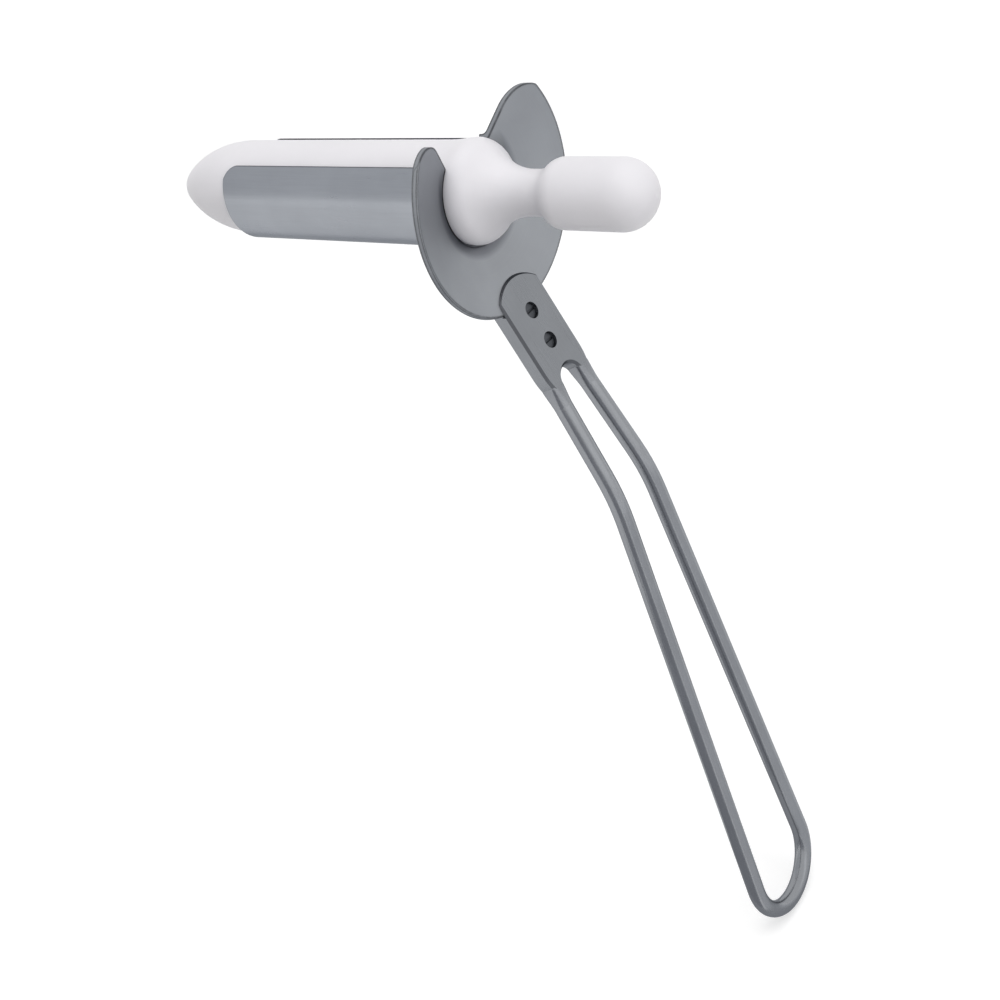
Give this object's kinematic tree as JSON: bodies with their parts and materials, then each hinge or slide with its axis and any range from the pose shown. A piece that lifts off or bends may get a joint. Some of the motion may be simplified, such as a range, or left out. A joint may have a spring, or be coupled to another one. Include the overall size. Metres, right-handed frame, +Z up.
{
  "type": "operating anal speculum",
  "caption": "Slotted steel speculum tube in a dished notched flange, with a looped wire handle below and a white plastic obturator that draws out backwards.",
  "frame": {"origin": "on the tube's axis, in the plane of the tube's mouth", "axes": "+Y along the tube towards the patient, +Z up through the middle of the slot, handle down towards -Z, the flange's notch and the handle symmetric about X = 0"},
  "size_m": [0.065, 0.1627, 0.2582],
  "materials": {
    "tube_steel": "fine satin",
    "flange_steel": "satin",
    "handle_steel": "satin, polished wire",
    "screw_steel": "dark satin",
    "white_plastic": "smooth, slightly glossy"
  },
  "bodies": {
    "speculum": {"blade_tube": "tube_steel", "flange": "flange_steel", "handle_bar": "handle_steel", "handle_loop": "handle_steel", "upper_screw": "screw_steel", "lower_screw": "screw_steel"},
    "obturator_body": {"obturator": "white_plastic"}
  },
  "joints": [
    {"name": "obturator_slide", "type": "slide", "parent": "speculum", "child": "obturator_body", "axis": [0, -1, 0], "range_m": [0, 0.12]}
  ]
}
